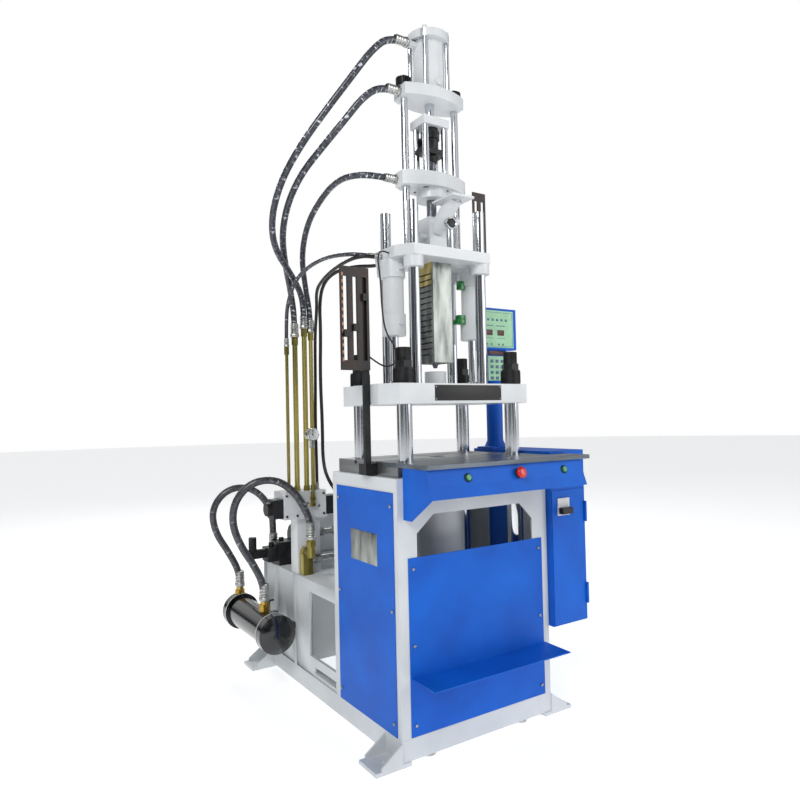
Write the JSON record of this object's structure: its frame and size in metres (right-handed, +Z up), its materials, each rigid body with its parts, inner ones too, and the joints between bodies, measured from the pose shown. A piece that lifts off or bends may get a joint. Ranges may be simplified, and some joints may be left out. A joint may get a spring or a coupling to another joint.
{
  "type": "injection moulding machine",
  "caption": "Upright plastic injection moulding press: guarded base with work table, rising platen on tie bars, injection unit above, and a rear oil tank with cooler, pipes and hoses.",
  "frame": {"origin": "on the floor, centre of the four anchor holes in the feet", "axes": "+Z up, front of the machine faces -Y, +X to the electric box"},
  "size_m": [1.1439, 1.4268, 2.646],
  "materials": {
    "machine_white": "satin light grey-white enamel",
    "panel_blue": "satin blue powder coat",
    "ground_steel": "ground and lightly oiled",
    "chrome": "hard chromed and polished",
    "blackened": "blackened, satin",
    "zinc": "zinc plated",
    "gold_pipe": "yellow passivated",
    "hose_rubber": "ribbed cover under clear film",
    "bright_sheet": "bright folded sheet",
    "slot_brown": "dark brown laminate",
    "button_green": "gloss green",
    "button_red": "gloss red",
    "panel_green": "satin pale green film",
    "switch_black": "satin black",
    "platen_white": "satin white enamel",
    "cooler_black": "gloss black",
    "tool_steel": "nitrided",
    "table_grey": "dull ground plate"
  },
  "bodies": {
    "base": {"base_frame": "machine_white", "fixings": "zinc", "cabinet": "machine_white", "side_panels": "panel_blue", "front_panel": "panel_blue", "fixed_platen": "ground_steel", "work_table": "table_grey", "apron": "panel_blue", "electric_box": "panel_blue", "pedestal": "panel_blue", "clamp_cylinder": "machine_white", "rack_left": "slot_brown", "rack_post": "blackened", "oil_tank": "machine_white", "drive_motor": "machine_white", "oil_pump": "blackened", "manifold": "machine_white", "solenoid_valves": "blackened", "riser_pipes": "gold_pipe", "pipe_fittings": "gold_pipe", "pressure_gauge": "zinc", "oil_cooler": "cooler_black", "hose_press_top": "hose_rubber", "hose_press_low": "hose_rubber", "hose_screw_in": "hose_rubber", "hose_seat_up": "hose_rubber", "hose_seat_down": "hose_rubber", "hose_cooler_rear": "hose_rubber", "hose_cooler_front": "hose_rubber", "cable_loom": "hose_rubber"},
    "clamp": {"clamp_yoke": "machine_white", "tie_bars": "chrome", "tie_bar_nuts": "blackened", "moving_platen": "platen_white", "locating_ring": "platen_white", "carriage_rods": "chrome"},
    "seat": {"seat_plate": "platen_white", "seat_cylinders": "platen_white", "barrel": "tool_steel", "heat_shield": "bright_sheet", "feed_throat": "platen_white", "uprights": "chrome", "middle_plate": "platen_white", "top_plate": "platen_white", "injection_cylinder": "platen_white", "rack_right": "slot_brown"},
    "press": {"crosshead": "platen_white", "screw_motor": "blackened"},
    "screw": {"screw": "tool_steel"},
    "estop": {"estop_button": "button_red"},
    "start_left": {"start_button_left": "button_green"},
    "start_right": {"start_button_right": "button_green"},
    "door": {"box_door": "panel_blue"},
    "switch": {"main_switch": "switch_black"},
    "control": {"control_box": "panel_blue", "control_face": "panel_green"},
    "needle": {"gauge_needle": "switch_black"},
    "slider_1": {"rack_slider_1": "switch_black"},
    "slider_2": {"rack_slider_2": "switch_black"},
    "slider_3": {"rack_slider_3": "switch_black"}
  },
  "joints": [
    {"name": "clamp_stroke", "type": "slide", "parent": "base", "child": "clamp", "axis": [0, 0, 1], "range_m": [-0.14, 0.03], "deforming": ["hose_press_top", "hose_press_low", "hose_screw_in", "hose_seat_up", "hose_seat_down", "cable_loom"]},
    {"name": "seat_stroke", "type": "slide", "parent": "clamp", "child": "seat", "axis": [0, 0, 1], "range_m": [-0.028, 0.06]},
    {"name": "inject_stroke", "type": "slide", "parent": "seat", "child": "press", "axis": [0, 0, 1], "range_m": [-0.05, 0]},
    {"name": "screw_spin", "type": "hinge", "parent": "press", "child": "screw", "pos_m": [0, -0.368, 2.1], "axis": [0, 0, 1], "continuous": true},
    {"name": "estop_press", "type": "slide", "parent": "base", "child": "estop", "axis": [0, 0.9622, -0.2723], "range_m": [0, 0.006], "stiffness_N_per_m": 400},
    {"name": "start_left_press", "type": "slide", "parent": "base", "child": "start_left", "axis": [0, 0.9622, -0.2723], "range_m": [0, 0.006], "stiffness_N_per_m": 400},
    {"name": "start_right_press", "type": "slide", "parent": "base", "child": "start_right", "axis": [0, 0.9622, -0.2723], "range_m": [0, 0.006], "stiffness_N_per_m": 400},
    {"name": "door_hinge", "type": "hinge", "parent": "base", "child": "door", "pos_m": [0.524, -0.6354, 0.6], "axis": [0, 0, 1], "range_deg": [0, 110]},
    {"name": "switch_turn", "type": "hinge", "parent": "door", "child": "switch", "pos_m": [0.404, -0.63, 0.774], "axis": [0, 1, 0], "range_deg": [0, 90]},
    {"name": "control_swivel", "type": "hinge", "parent": "base", "child": "control", "pos_m": [0.41, -0.238, 1.29], "axis": [0, 0, 1], "range_deg": [-50, 50]},
    {"name": "gauge_turn", "type": "hinge", "parent": "base", "child": "needle", "pos_m": [-0.272, 0.183, 1.08], "axis": [0, 1, 0], "range_deg": [-130, 120], "stiffness_Nm_per_rad": 0.002},
    {"name": "slider_1_set", "type": "slide", "parent": "base", "child": "slider_1", "axis": [0, 0, 1], "range_m": [-0.0857, 0.1933]},
    {"name": "slider_2_set", "type": "slide", "parent": "base", "child": "slider_2", "axis": [0, 0, 1], "range_m": [-0.1072, 0.1718]},
    {"name": "slider_3_set", "type": "slide", "parent": "base", "child": "slider_3", "axis": [0, 0, 1], "range_m": [-0.2149, 0.0641]}
  ]
}
